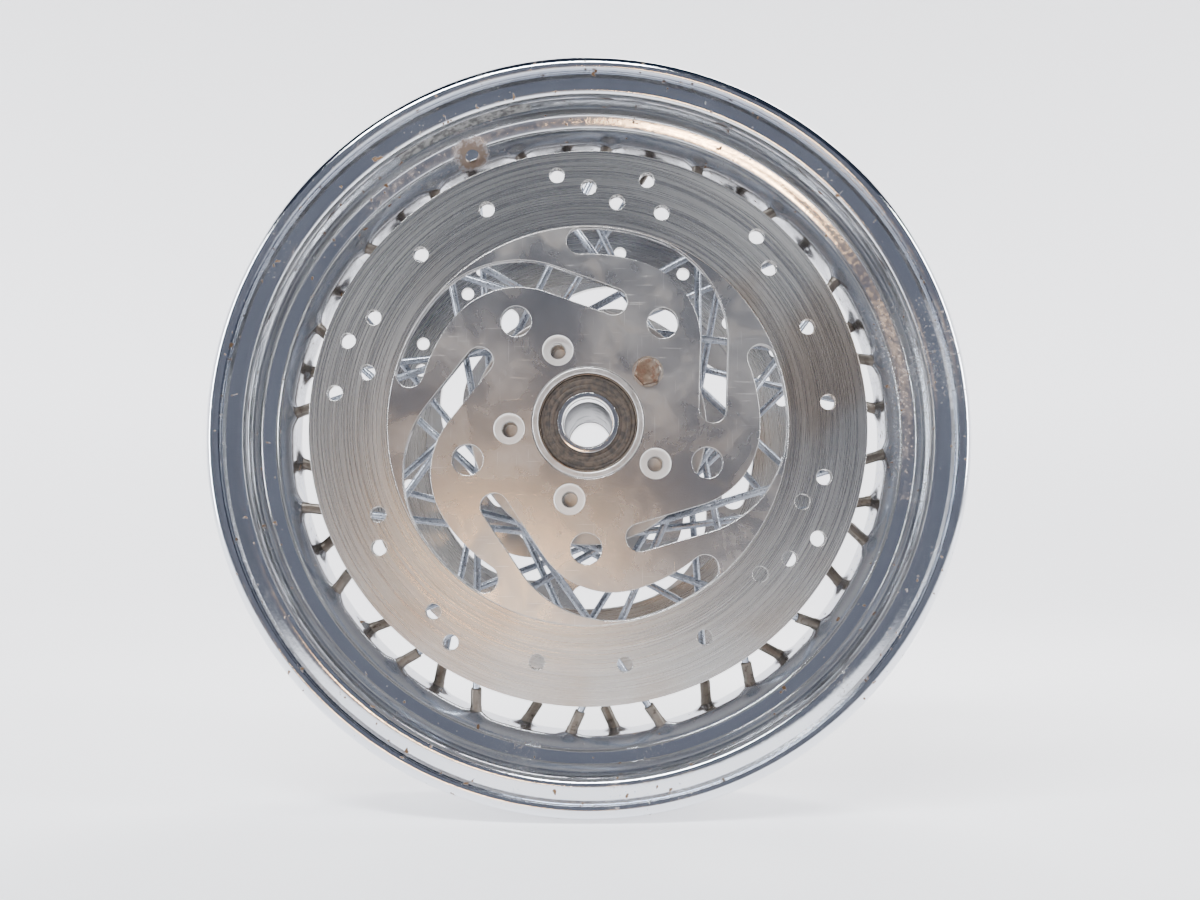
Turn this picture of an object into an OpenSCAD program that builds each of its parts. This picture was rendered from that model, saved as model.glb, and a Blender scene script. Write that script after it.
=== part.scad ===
// Laced motorcycle wheel with two brake discs and sealed ball bearings.
// Every piece is drawn lying flat, axis along z, then stood up about the x axis,
// so the finished wheel spins about y with its centre at the origin.

/* [Rim] */
// Diameter over the bead seats
bead_seat_d = 380.2; // [378:0.1:382]
// Inside width between the two flanges
rim_inside_w = 76.2; // [75:0.1:78]
// Height of each flange above the bead seat
flange_h = 17.4; // [16.5:0.1:18]
// Thickness of the rolled steel
rim_wall = 2.4; // [2.2:0.1:2.5]
// Diameter of the valve hole
valve_d = 8.3; // [8:0.1:9]

/* [Spokes] */
// Diameter of a spoke
spoke_d = 4; // [3.6:0.1:4.2]
// Diameter of the hole circle in each spoke flange
lacing_d = 120; // [119:0.5:122]
// Middle of the outer spoke flanges from the middle plane
outer_flange_z = 44; // [43.5:0.1:44.5]
// Middle of the inner spoke flanges from the middle plane
inner_flange_z = 29; // [28.5:0.1:29.5]
// Diameter of a nipple body
nipple_d = 6.6; // [6.2:0.1:6.8]

/* [Bearings] */
// Diameter of the axle bore
axle_d = 25.4; // [25:0.1:25.6]
// Outside diameter of a bearing
bearing_od = 52; // [51.6:0.1:52.2]
// Width of a bearing
bearing_w = 15; // [15:0.1:15.4]
// Distance over the outer faces of the two bearings
bearing_spacing = 128; // [127.6:0.1:128.4]

/* [Brake discs] */
// Outside diameter of a disc
disc_d = 292.1; // [290:0.1:294]
// Thickness of a disc
disc_t = 5.1; // [5:0.1:5.3]
// Distance between the outer faces of the two discs
disc_face_spacing = 129; // [128.8:0.1:129.4]
// Diameter of the bolt circle
bolt_pcd = 82.55; // [82:0.05:83]
// Diameter of the hub nose that centres a disc
nose_d = 58.4; // [58:0.1:58.8]

/* [Hidden] */

chrome = [0.80, 0.82, 0.86];
zinc = [0.55, 0.58, 0.62];
bronze = [0.46, 0.42, 0.36];
alloy = [0.70, 0.71, 0.73];
steel = [0.77, 0.76, 0.76];
rubber = [0.20, 0.17, 0.15];
brass = [0.72, 0.62, 0.38];
putty = [0.50, 0.50, 0.50];

// ---------- shared shapes ----------

// Stands a flat piece up: local z becomes -y, local y becomes z
module upright() {
    rotate([90, 0, 0]) children();
}

// Turns a near-side piece over, about the x axis, to make its far-side twin
module on_side(side) {
    rotate([side > 0 ? 0 : 180, 0, 0]) children();
}

module tube(r_in, r_out, h) {
    difference() {
        cylinder(r = r_out, h = h, $fn = 96);
        translate([0, 0, -1]) cylinder(r = r_in, h = h + 2, $fn = 96);
    }
}

function polar(r, a) = [r * cos(a), r * sin(a)];
function unit(v) = v / norm(v);

// Points of the fillet at corner b of the path a-b-c
function fillet(a, b, c, r, steps) =
    let (u = unit(a - b),
         v = unit(c - b),
         half = acos(u * v) / 2,
         centre = b + unit(u + v) * r / sin(half),
         p = b + u * r / tan(half) - centre,
         q = b + v * r / tan(half) - centre,
         side = p[0] * q[1] - p[1] * q[0] > 0 ? 1 : -1,
         sweep = side * (180 - 2 * half),
         start = atan2(p[1], p[0]))
    [for (i = [0:steps]) centre + polar(r, start + sweep * i / steps)];

function normal(path, i) =
    let (last = len(path) - 1,
         d = unit(path[min(i + 1, last)] - path[max(i - 1, 0)]))
    [-d[1], d[0]];

// Closed outline of a wall of thickness t along an open path
function wall_outline(path, t) = concat(
    [for (i = [0:len(path) - 1]) path[i] + normal(path, i) * t / 2],
    [for (i = [len(path) - 1:-1:0]) path[i] - normal(path, i) * t / 2]);

function mirrored(path) =
    [for (i = [len(path) - 1:-1:0]) [path[i][0], -path[i][1]]];

// ---------- rim ----------

// Middle of the rim wall, as radius and distance from the middle plane
seat_r = bead_seat_d / 2;
flange_z = (rim_inside_w + rim_wall) / 2;
well_r = seat_r - 18.4;
well_edge = [well_r, 11];
shoulder = [well_r + 5.5, 18.3];
ledge = [well_r + 12.8, 20.6];
seat_start = [seat_r - 2.1, 25];
seat_end = [seat_r - 1.2, flange_z];

// Rolled lip, curled back a little past its outermost point
lip_r = 3.6;
lip_curl = 35;
lip_centre = [seat_r + flange_h - lip_r - rim_wall / 2, flange_z + lip_r];
lip_start = [lip_centre[0], flange_z];

rim_half = concat(
    fillet([well_r, 0], well_edge, shoulder, 5, 2),
    fillet(well_edge, shoulder, ledge, 3, 2),
    fillet(shoulder, ledge, seat_start, 4, 2),
    fillet(ledge, seat_start, seat_end, 4, 2),
    fillet(seat_start, seat_end, lip_start, 3, 4),
    [for (i = [0:8])
        let (a = 180 - (180 + lip_curl) * i / 8)
        lip_centre + lip_r * [sin(a), cos(a)]]);

rim_path = concat(mirrored(rim_half), rim_half);

// Pressed dimple behind each nipple
dimple_r = [5.6, 8];
dimple_h = 3.6;
nipple_hole_d = nipple_d + 0.6;
nipple_seat = 1.2;                 // head seat, out from the middle of the wall
nipple_head_r = 5;
nipple_head_h = 3.6;

valve_turn = 112.9;
valve_centre = well_edge + 0.69 * (shoulder - well_edge);
valve_tilt = 53;
valve_pad_d = 12.8;
valve_pad_t = rim_wall + 0.5;

module at_valve() {
    rotate([0, 0, valve_turn])
        translate([valve_centre[0], 0, valve_centre[1]])
            rotate([0, -valve_tilt, 0])
                children();
}

module at_rim_hole(side, row, k) {
    rotate([0, 0, rim_turn(side, row, k)])
        translate([well_r, 0, side * rim_hole_z])
            rotate([0, -90, 0])
                children();
}

module rim() {
    color(chrome) upright() difference() {
        union() {
            rotate_extrude($fn = 180) polygon(wall_outline(rim_path, rim_wall));
            for (side = [-1, 1], row = [-1, 1], k = [0:groups - 1])
                at_rim_hole(side, row, k)
                    cylinder(r1 = dimple_r[1], r2 = dimple_r[0], h = dimple_h, $fn = 32);
            at_valve() translate([0, 0, -valve_pad_t / 2])
                cylinder(d = valve_pad_d, h = valve_pad_t, $fn = 48);
        }
        for (side = [-1, 1], row = [-1, 1], k = [0:groups - 1])
            along_spoke(side, row, k) {
                translate([0, 0, -7]) cylinder(d = nipple_hole_d, h = 14, $fn = 32);
                translate([0, 0, -nipple_seat - 6])
                    cylinder(r = nipple_head_r + 0.4, h = 6, $fn = 32);
            }
        at_valve() translate([0, 0, -5]) cylinder(d = valve_d, h = 10, $fn = 48);
    }
}

// Stick-on weight strip under the near bead seat
strip_turn = [100, 125];
strip_z = [27, 36.5];
strip_t = 0.8;

// Inner surface of the bead seat at a given distance from the middle plane
function under_seat(z) =
    seat_start[0] - rim_wall / 2 - 0.05
    + (z - seat_start[1]) * (seat_end[0] - seat_start[0]) / (seat_end[1] - seat_start[1]);

module balance_strip() {
    color(putty) upright() rotate([0, 0, strip_turn[0]])
        rotate_extrude(angle = strip_turn[1] - strip_turn[0], $fn = 180)
            polygon([[under_seat(strip_z[0]), strip_z[0]],
                     [under_seat(strip_z[1]), strip_z[1]],
                     [under_seat(strip_z[1]) - strip_t, strip_z[1]],
                     [under_seat(strip_z[0]) - strip_t, strip_z[0]]]);
}

// ---------- lacing ----------

// Rim holes come every 9 degrees, in groups of four.
// side is +1 near or -1 far; row is +1 outer flange or -1 inner flange.
groups = 10;
group_phase = 270.75;
outer_row_turn = 13.5;
inner_row_turn = -4.5;
lace_swing = 72;                   // turn from a rim hole to its hub hole
rim_hole_z = 7;
lacing_r = lacing_d / 2;
spoke_flange_t = 3.5;
spoke_flange_gap = 0.2;
elbow_d = spoke_d + 0.2;

function rim_turn(side, row, k) =
    group_phase + 360 / groups * k
    + side * (row > 0 ? outer_row_turn : inner_row_turn);

function hub_turn(side, row, k) = rim_turn(side, row, k) - side * row * lace_swing;

function row_z(row) = row > 0 ? outer_flange_z : inner_flange_z;

function rim_end(side, row, k) =
    concat(polar(well_r, rim_turn(side, row, k)), [side * rim_hole_z]);

// Elbow: just inside the flange the spoke hangs from
function hub_end(side, row, k) =
    concat(polar(lacing_r, hub_turn(side, row, k)),
           [side * (row_z(row) - (spoke_flange_t + elbow_d) / 2 - spoke_flange_gap)]);

// Puts children at the rim end of a spoke, z pointing to its hub end
module along_spoke(side, row, k) {
    p = rim_end(side, row, k);
    d = unit(hub_end(side, row, k) - p);
    translate(p) rotate([0, acos(d[2]), atan2(d[1], d[0])]) children();
}

spoke_tip = 3;                     // how far a spoke runs into the nipple head
spoke_head_r = 3.6;
spoke_head_h = 2.2;
shank_h = elbow_d / 2 + spoke_flange_gap + spoke_flange_t;

module spoke(side, row, k) {
    length = norm(hub_end(side, row, k) - rim_end(side, row, k));
    along_spoke(side, row, k) translate([0, 0, -spoke_tip])
        cylinder(d = spoke_d, h = length + spoke_tip, $fn = 24);
    translate(hub_end(side, row, k)) rotate([side > 0 ? 0 : 180, 0, 0]) {
        sphere(d = elbow_d, $fn = 24);
        cylinder(d = spoke_d, h = shank_h + 1, $fn = 24);
        translate([0, 0, shank_h])
            cylinder(r1 = spoke_head_r, r2 = spoke_head_r - 1, h = spoke_head_h, $fn = 24);
    }
}

module spoke_set(side, row) {
    color(zinc) upright() for (k = [0:groups - 1]) spoke(side, row, k);
}

nipple_len = 16;
nipple_flat = 0.4;
flat_start = 5;

module nipple() {
    difference() {
        union() {
            translate([0, 0, -nipple_seat - nipple_head_h])
                cylinder(r1 = nipple_head_r - 1, r2 = nipple_head_r, h = nipple_head_h, $fn = 32);
            translate([0, 0, -nipple_seat - 0.5])
                cylinder(d = nipple_d, h = nipple_len + nipple_seat + 0.5, $fn = 32);
        }
        translate([0, 0, -10]) cylinder(d = spoke_d + 0.1, h = nipple_len + 20, $fn = 32);
        for (turn = [0:90:270]) rotate([0, 0, turn])
            translate([nipple_d / 2 - nipple_flat, -5, flat_start]) cube([3, 10, 20]);
    }
}

module nipple_set(side) {
    color(bronze) upright()
        for (row = [-1, 1], k = [0:groups - 1]) along_spoke(side, row, k) nipple();
}

module near_outer_spokes() { spoke_set(1, 1); }
module near_inner_spokes() { spoke_set(1, -1); }
module far_outer_spokes() { spoke_set(-1, 1); }
module far_inner_spokes() { spoke_set(-1, -1); }
module near_nipples() { nipple_set(1); }
module far_nipples() { nipple_set(-1); }

// ---------- hub ----------

core_r = 20;
barrel_r = 31;
waist_r = 42;
neck_r = 36;
spoke_flange_r = lacing_r + 4;
bolt_flange_r = 50;
bolt_flange_t = 8.4;
shoulder_z = bearing_spacing / 2 - bearing_w;
nose_z = bearing_spacing / 2 + 1;
mount_z = disc_face_spacing / 2 - disc_t;
half_t = spoke_flange_t / 2;

// Tube that carries the bearings, and its noses that centre the discs
barrel_half = [[core_r, 0], [barrel_r, 0], [barrel_r, mount_z], [nose_d / 2, mount_z],
               [nose_d / 2, nose_z - 0.8], [nose_d / 2 - 0.8, nose_z],
               [bearing_od / 2 + 0.6, nose_z], [bearing_od / 2, nose_z - 0.6],
               [bearing_od / 2, shoulder_z], [core_r, shoulder_z]];

// Flange casting round each end of the tube: two spoke flanges, neck and disc flange
casting = [[barrel_r, inner_flange_z - 12],
           [waist_r, inner_flange_z - half_t - 1],
           [spoke_flange_r - 6, inner_flange_z - half_t],
           [spoke_flange_r - 0.6, inner_flange_z - half_t],
           [spoke_flange_r, inner_flange_z - half_t + 0.6],
           [spoke_flange_r, inner_flange_z + half_t - 0.6],
           [spoke_flange_r - 0.6, inner_flange_z + half_t],
           [waist_r, inner_flange_z + half_t + 0.5],
           [waist_r - 2, inner_flange_z + half_t + 2.5],
           [waist_r - 2, outer_flange_z - half_t - 2.5],
           [waist_r, outer_flange_z - half_t - 0.5],
           [spoke_flange_r - 6, outer_flange_z - half_t],
           [spoke_flange_r - 0.6, outer_flange_z - half_t],
           [spoke_flange_r, outer_flange_z - half_t + 0.6],
           [spoke_flange_r, outer_flange_z + half_t - 0.6],
           [spoke_flange_r - 0.6, outer_flange_z + half_t],
           [neck_r + 2, outer_flange_z + half_t],
           [neck_r, outer_flange_z + half_t + 2],
           [neck_r, mount_z - bolt_flange_t],
           [bolt_flange_r - 1, mount_z - bolt_flange_t],
           [bolt_flange_r, mount_z - bolt_flange_t + 1],
           [bolt_flange_r, mount_z - 0.8], [bolt_flange_r - 0.8, mount_z],
           [barrel_r, mount_z]];

// Disc bolts
bolt_count = 5;
bolt_phase = 112.6;
bolt_r = bolt_pcd / 2;
boss_r = 9;
thread_r = 4;
thread_depth = mount_z - outer_flange_z - half_t - 0.2;

module at_bolt(k) {
    rotate([0, 0, bolt_phase + 360 / bolt_count * k])
        translate([bolt_r, 0, mount_z])
            children();
}

module hub_barrel() {
    color(alloy) upright() for (side = [-1, 1]) on_side(side)
        rotate_extrude($fn = 96) polygon(barrel_half);
}

module hub_flanges(side) {
    color(alloy) upright() difference() {
        on_side(side) {
            rotate_extrude($fn = 96) polygon(casting);
            for (k = [0:bolt_count - 1]) at_bolt(k)
                translate([0, 0, -mount_z + outer_flange_z])
                    cylinder(r = boss_r, h = mount_z - outer_flange_z - 1, $fn = 48);
        }
        on_side(side) for (k = [0:bolt_count - 1]) at_bolt(k)
            translate([0, 0, -thread_depth])
                cylinder(r = thread_r, h = thread_depth + 5, $fn = 32);
        for (row = [-1, 1], k = [0:groups - 1])
            rotate([0, 0, hub_turn(side, row, k)])
                translate([lacing_r, 0, side * row_z(row)])
                    cylinder(d = spoke_d + 0.6, h = spoke_flange_t + 2, center = true, $fn = 24);
    }
}

module near_hub_flanges() { hub_flanges(1); }
module far_hub_flanges() { hub_flanges(-1); }

// ---------- brake discs ----------

swept_r = 105;                     // inner edge of the swept ring
swept_relief = 0.15;               // how much thinner it is on each face

// Swirl windows
slot_w = 14.4;
slot_r = 97.2;                     // middle of a window along the swept ring
slot_start = 52;
slot_turn = 29.5;                  // where it starts to curl inward
curl_centre_r = 46.5;
curl_r = slot_r - curl_centre_r;
slot_exit = -42.5;
slot_run = 35;

light_hole_r = 65.7;
light_hole_d = 16.2;
light_hole_turn = 12.7;
bolt_hole_d = 8.7;
counterbore_d = 15.7;
counterbore_depth = 2.6;

// Small holes drilled through the swept ring. Each run gives the angle of its
// first hole and its first and last row; it steps on 7.3 degrees for each row.
ring_hole_d = 8;
ring_hole_rows = [118.8, 126.1, 133.6];
ring_hole_step = 7.3;
ring_hole_runs = [[4.9, 1, 1], [23.7, 1, 1], [40.7, 1, 2], [70.8, 0, 0],
                  [76.5, 2, 2], [82.6, 0, 2], [115.3, 1, 1], [134.7, 1, 1],
                  [153.8, 1, 2], [167.1, 0, 0], [173.3, 2, 2], [203.8, 0, 1],
                  [230.9, 1, 2], [258.1, 1, 1], [278.7, 1, 1], [298.4, 1, 1],
                  [318.5, 0, 2], [339.6, 0, 1]];

// Middle of a window: along the swept ring, round the curl, then straight inward
slot_middle = concat(
    [for (i = [0:4]) polar(slot_r, slot_start + (slot_turn - slot_start) * i / 4)],
    [for (i = [1:12])
        polar(curl_centre_r, slot_turn)
        + polar(curl_r, slot_turn + (slot_exit - slot_turn) * i / 12)],
    [polar(curl_centre_r, slot_turn) + polar(curl_r, slot_exit)
     + polar(slot_run, slot_exit - 90)]);

function heading(from, to) = atan2(to[1] - from[1], to[0] - from[0]);

function round_cap(centre, facing, w) =
    [for (a = [67.5:-22.5:-67.5]) centre + polar(w / 2, facing + a)];

// Closed outline of a band of width w along a path, round at both ends
function band_outline(path, w) =
    let (last = len(path) - 1)
    concat(
        [for (i = [0:last]) path[i] + normal(path, i) * w / 2],
        round_cap(path[last], heading(path[last - 1], path[last]), w),
        [for (i = [last:-1:0]) path[i] - normal(path, i) * w / 2],
        round_cap(path[0], heading(path[1], path[0]), w));

module swirl_window() {
    polygon(band_outline(slot_middle, slot_w));
}

module ring_holes() {
    for (run = ring_hole_runs, row = [run[1]:run[2]])
        rotate(run[0] + ring_hole_step * (row - run[1]))
            translate([ring_hole_rows[row], 0])
                circle(d = ring_hole_d, $fn = 32);
}

module disc_outline() {
    difference() {
        circle(d = disc_d, $fn = 180);
        circle(d = nose_d + 0.4, $fn = 96);
        ring_holes();
        for (k = [0:bolt_count - 1]) rotate(bolt_phase + 360 / bolt_count * k) {
            swirl_window();
            rotate(light_hole_turn) translate([light_hole_r, 0])
                circle(d = light_hole_d, $fn = 48);
            translate([bolt_r, 0]) circle(d = bolt_hole_d, $fn = 32);
        }
    }
}

module disc() {
    difference() {
        translate([0, 0, mount_z]) linear_extrude(disc_t) disc_outline();
        for (z = [-1, disc_t - swept_relief]) translate([0, 0, mount_z + z])
            tube(swept_r, disc_d / 2 + 1, 1 + swept_relief);
        for (k = [0:bolt_count - 1]) at_bolt(k)
            translate([0, 0, disc_t - counterbore_depth])
                cylinder(d = counterbore_d, h = counterbore_depth + 1, $fn = 48);
    }
}

module near_disc() { color(steel) upright() disc(); }
module far_disc() { color(steel) upright() on_side(-1) disc(); }

hex_af = 12.7;
hex_h = 5.2;
bolt_reach = disc_t - counterbore_depth + thread_depth - 2;

module disc_bolt(k) {
    at_bolt(k) translate([0, 0, disc_t - counterbore_depth]) {
        intersection() {
            cylinder(d = hex_af / cos(30), h = hex_h, $fn = 6);
            cylinder(r1 = hex_af / 2 + hex_h, r2 = hex_af / 2 - 0.2, h = hex_h, $fn = 48);
        }
        translate([0, 0, -bolt_reach])
            cylinder(r = thread_r - 0.1, h = bolt_reach + 1, $fn = 32);
    }
}

module near_disc_bolt() { color(steel) upright() disc_bolt(4); }

module far_disc_bolts() {
    color(steel) upright() on_side(-1) for (k = [0:bolt_count - 1]) disc_bolt(k);
}

// ---------- bearings ----------

ball_d = 7.94;
ball_count = 9;
pitch_r = (axle_d + bearing_od) / 4;
groove_r = ball_d / 2 + 0.05;
inner_land_r = pitch_r - 3.55;
outer_land_r = pitch_r + 3.55;
seal_seat_r = pitch_r + 5.85;
seal_z = bearing_w / 2 - 1.8;
seal_t = 1.2;
seal_clearance = 0.1;
race_chamfer = 0.9;
half_bearing = bearing_w / 2;
cage_r = [17.6, 21.1];
cage_h = 10.4;
pocket_d = ball_d + 0.3;

module at_bearing(side) {
    upright() on_side(side)
        translate([0, 0, bearing_spacing / 2 - half_bearing])
            children();
}

module ball_groove() {
    rotate_extrude($fn = 96) translate([pitch_r, 0]) circle(r = groove_r, $fn = 48);
}

module inner_race(side) {
    bore = axle_d / 2;
    color(steel) at_bearing(side) difference() {
        rotate_extrude($fn = 96) polygon([
            [bore, -half_bearing + race_chamfer], [bore + race_chamfer, -half_bearing],
            [inner_land_r, -half_bearing], [inner_land_r, half_bearing],
            [bore + race_chamfer, half_bearing], [bore, half_bearing - race_chamfer]]);
        ball_groove();
    }
}

module outer_race(side) {
    edge = bearing_od / 2;
    color(steel) at_bearing(side) difference() {
        rotate_extrude($fn = 96) polygon([
            [outer_land_r, -seal_z], [seal_seat_r, -seal_z], [seal_seat_r, -half_bearing],
            [edge - 0.3, -half_bearing], [edge, -half_bearing + 0.3],
            [edge, half_bearing - 0.3], [edge - 0.3, half_bearing],
            [seal_seat_r, half_bearing], [seal_seat_r, seal_z], [outer_land_r, seal_z]]);
        ball_groove();
    }
}

// face is +1 for the outboard side of a bearing and -1 for the inboard side
module seal(side, face) {
    color(rubber) at_bearing(side)
        translate([0, 0, face > 0 ? seal_z : -seal_z - seal_t])
            tube(inner_land_r + seal_clearance, seal_seat_r - 0.02, seal_t);
}

module at_ball(k) {
    rotate([0, 0, 360 / ball_count * k]) translate([pitch_r, 0, 0]) children();
}

module ball_set(side) {
    color(steel) at_bearing(side)
        for (k = [0:ball_count - 1]) at_ball(k) sphere(d = ball_d, $fn = 48);
}

module cage(side) {
    color(brass) at_bearing(side) difference() {
        translate([0, 0, -cage_h / 2]) tube(cage_r[0], cage_r[1], cage_h);
        for (k = [0:ball_count - 1]) at_ball(k) rotate([0, 90, 0])
            cylinder(d = pocket_d, h = 8, center = true, $fn = 48);
    }
}

module near_outer_race() { outer_race(1); }
module far_outer_race() { outer_race(-1); }
module near_outboard_seal() { seal(1, 1); }
module near_inboard_seal() { seal(1, -1); }
module far_outboard_seal() { seal(-1, 1); }
module far_inboard_seal() { seal(-1, -1); }
module near_balls() { ball_set(1); }
module far_balls() { ball_set(-1); }
module near_cage() { cage(1); }
module far_cage() { cage(-1); }
module near_inner_race() { inner_race(1); }
module far_inner_race() { inner_race(-1); }

module spacer_tube() {
    color(zinc) upright() translate([0, 0, -shoulder_z])
        tube(axle_d / 2 + 0.4, inner_land_r - 0.4, 2 * shoulder_z);
}

rim();
balance_strip();
hub_barrel();
near_hub_flanges();
far_hub_flanges();
near_outer_spokes();
near_inner_spokes();
far_outer_spokes();
far_inner_spokes();
near_nipples();
far_nipples();
near_disc();
far_disc();
near_disc_bolt();
far_disc_bolts();
near_outer_race();
far_outer_race();
near_outboard_seal();
near_inboard_seal();
far_outboard_seal();
far_inboard_seal();
near_balls();
far_balls();
near_cage();
far_cage();
near_inner_race();
far_inner_race();
spacer_tube();
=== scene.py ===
"""Laced motorcycle wheel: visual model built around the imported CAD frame."""

import math
import random

import bmesh
import bpy
from mathutils import Matrix, Vector


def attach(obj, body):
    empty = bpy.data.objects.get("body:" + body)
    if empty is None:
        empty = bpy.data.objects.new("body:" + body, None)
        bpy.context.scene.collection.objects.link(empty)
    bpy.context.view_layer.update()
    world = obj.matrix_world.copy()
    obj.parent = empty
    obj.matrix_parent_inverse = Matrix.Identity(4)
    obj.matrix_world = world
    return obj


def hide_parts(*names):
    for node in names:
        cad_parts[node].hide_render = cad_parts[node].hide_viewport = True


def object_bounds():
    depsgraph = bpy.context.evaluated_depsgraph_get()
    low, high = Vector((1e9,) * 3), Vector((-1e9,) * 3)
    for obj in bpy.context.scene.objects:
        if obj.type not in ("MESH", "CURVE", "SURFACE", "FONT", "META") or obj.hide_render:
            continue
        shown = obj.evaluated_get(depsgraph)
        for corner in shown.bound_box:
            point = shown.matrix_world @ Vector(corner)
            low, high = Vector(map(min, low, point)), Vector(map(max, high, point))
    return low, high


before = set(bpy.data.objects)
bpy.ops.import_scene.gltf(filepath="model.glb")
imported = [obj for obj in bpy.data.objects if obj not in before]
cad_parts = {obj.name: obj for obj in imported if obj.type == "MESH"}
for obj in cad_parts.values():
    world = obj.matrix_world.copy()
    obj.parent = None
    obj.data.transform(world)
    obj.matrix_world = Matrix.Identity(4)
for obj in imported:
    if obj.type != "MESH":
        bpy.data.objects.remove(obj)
cad_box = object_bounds()

MM = 0.001
NEAR, FAR = 1, -1
OUTER, INNER = 1, -1

# ---------------------------------------------------------------- driving sizes
# Millimetres and degrees, in the wheel's own lying-flat frame: x and y in the
# wheel's plane, z along the axle towards the near side. to_model() stands it up.

# rim
SEAT_R = 190.1
SEAT_START_Z = 25
SEAT_RISE = 2.1
FLANGE_Z = 39.3
WALL = 2.4
WELL_R = SEAT_R - 18.4
FLANGE_H = 17.4
LIP_R = 3.6
LIP_CURL = 35

# valve hole
VALVE_TURN = 112.9
VALVE_AT_R, VALVE_AT_Z = 175.5, 16.0
VALVE_TILT = 53
VALVE_R = 4.15

# lacing
GROUPS = 10
GROUP_PHASE = 270.75
ROW_TURN = {OUTER: 13.5, INNER: -4.5}
LACE_SWING = 72
RIM_HOLE_Z = 7
LACING_R = 60
ROW_Z = {OUTER: 44, INNER: 29}
SPOKE_FLANGE_T = 3.5
SPOKE_R = 2
ELBOW_DROP = 2.1 + 0.2 + SPOKE_FLANGE_T / 2
NIPPLE_R = 3.3
NIPPLE_SEAT = 1.2
NIPPLE_LEN = 16

# hub
BARREL_R = 31
BARREL_BORE_R = 20
NOSE_R = 29.2
NOSE_Z = 65
MOUNT_Z = 59.4
BOSS_R = 9
THREAD_R = 4
THREAD_END_Z = 46

# bearings and spacer tube
BEARING_MID = 56.5
BEARING_HALF = 7.5
BEARING_IN_Z = BEARING_MID - BEARING_HALF
AXLE_R = 12.7
RACE_R = 26
SPACER_BORE_R = 13.1
SPACER_R = 15.4

# discs and bolts
DISC_T = 5.1
DISC_R = 146.05
SWEPT_R = 105
DISC_FACE_Z = MOUNT_Z + DISC_T
BOLT_COUNT = 5
BOLT_R = 41.275
BOLT_PHASE = 112.6
DISC_HOLE_R = 4.35
COUNTERBORE_R = 7.85
COUNTERBORE_Z = DISC_FACE_Z - 2.6
NEAR_BOLT_HOLE = 4
HEX_HALF_WIDTH = 6.35


# ---------------------------------------------------------------- small geometry

def polar(r, a):
    return Vector((r * math.cos(math.radians(a)), r * math.sin(math.radians(a))))


def to_model(p):
    """Lying-flat millimetres to the row frame in metres."""
    return Vector((p[0], -p[2], p[1])) * MM


def flip(p, side):
    """Turns a near-side point over about the x axis for the far side."""
    return Vector(p) if side == NEAR else Vector((p[0], -p[1], -p[2]))


def fillet(a, b, c, r, steps):
    """Points of the round at corner b of the path a-b-c."""
    a, b, c = Vector(a), Vector(b), Vector(c)
    u, v = (a - b).normalized(), (c - b).normalized()
    half = u.angle(v) / 2
    r = min(r, 0.45 * math.tan(half) * min((a - b).length, (c - b).length))
    centre = b + (u + v).normalized() * (r / math.sin(half))
    p = b + u * (r / math.tan(half)) - centre
    q = b + v * (r / math.tan(half)) - centre
    sweep = math.pi - 2 * half
    if p.x * q.y - p.y * q.x < 0:
        sweep = -sweep
    start = math.atan2(p.y, p.x)
    return [centre + Vector((math.cos(start + sweep * i / steps), math.sin(start + sweep * i / steps))) * r
            for i in range(steps + 1)]


def rounded(outline, r, steps=3):
    """A closed outline with every corner rounded to radius r."""
    n = len(outline)
    out = []
    for i in range(n):
        out += fillet(outline[i - 1], outline[i], outline[(i + 1) % n], r, steps)
    return out


def wall(path, t):
    """Closed outline of a wall of thickness t along an open path."""
    left, right = [], []
    last = len(path) - 1
    for i, p in enumerate(path):
        d = (path[min(i + 1, last)] - path[max(i - 1, 0)]).normalized()
        n = Vector((-d.y, d.x)) * (t / 2)
        left.append(p + n)
        right.append(p - n)
    return left + right[::-1]


def subdivide(path, step):
    """Adds points so that no stretch of the path is longer than step."""
    out = [path[0]]
    for a, b in zip(path, path[1:]):
        n = max(1, math.ceil((b - a).length / step))
        out += [a + (b - a) * (i / n) for i in range(1, n + 1)]
    return out


# ---------------------------------------------------------------- mesh building

SMOOTH_ANGLE = 32
FLAT_FROM = 0.9995  # share of a normal that lies along the axle on a flat face


def add_object(name, data):
    obj = bpy.data.objects.new(name, data)
    bpy.context.scene.collection.objects.link(obj)
    return obj


def make_object(name, verts, faces, smooth_angle=SMOOTH_ANGLE):
    mesh = bpy.data.meshes.new(name)
    mesh.from_pydata([tuple(v) for v in verts], [], faces)
    finish_mesh(mesh, smooth_angle)
    return add_object(name, mesh)


def finish_mesh(mesh, smooth_angle):
    bm = bmesh.new()
    bm.from_mesh(mesh)
    bmesh.ops.recalc_face_normals(bm, faces=bm.faces)
    bm.to_mesh(mesh)
    bm.free()
    mesh.shade_smooth()
    mesh.set_sharp_from_angle(angle=math.radians(smooth_angle))
    mesh.update()


def revolve_data(outline, segs, place):
    """Closed outline of (radius, height) points, turned about the height axis."""
    verts, faces = [], []
    n = len(outline)
    for s in range(segs):
        a = 2 * math.pi * s / segs
        for r, z in outline:
            verts.append(place(Vector((r * math.cos(a), r * math.sin(a), z))))
    for s in range(segs):
        t = (s + 1) % segs
        for i in range(n):
            j = (i + 1) % n
            faces.append((s * n + i, t * n + i, t * n + j, s * n + j))
    return verts, faces


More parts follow.
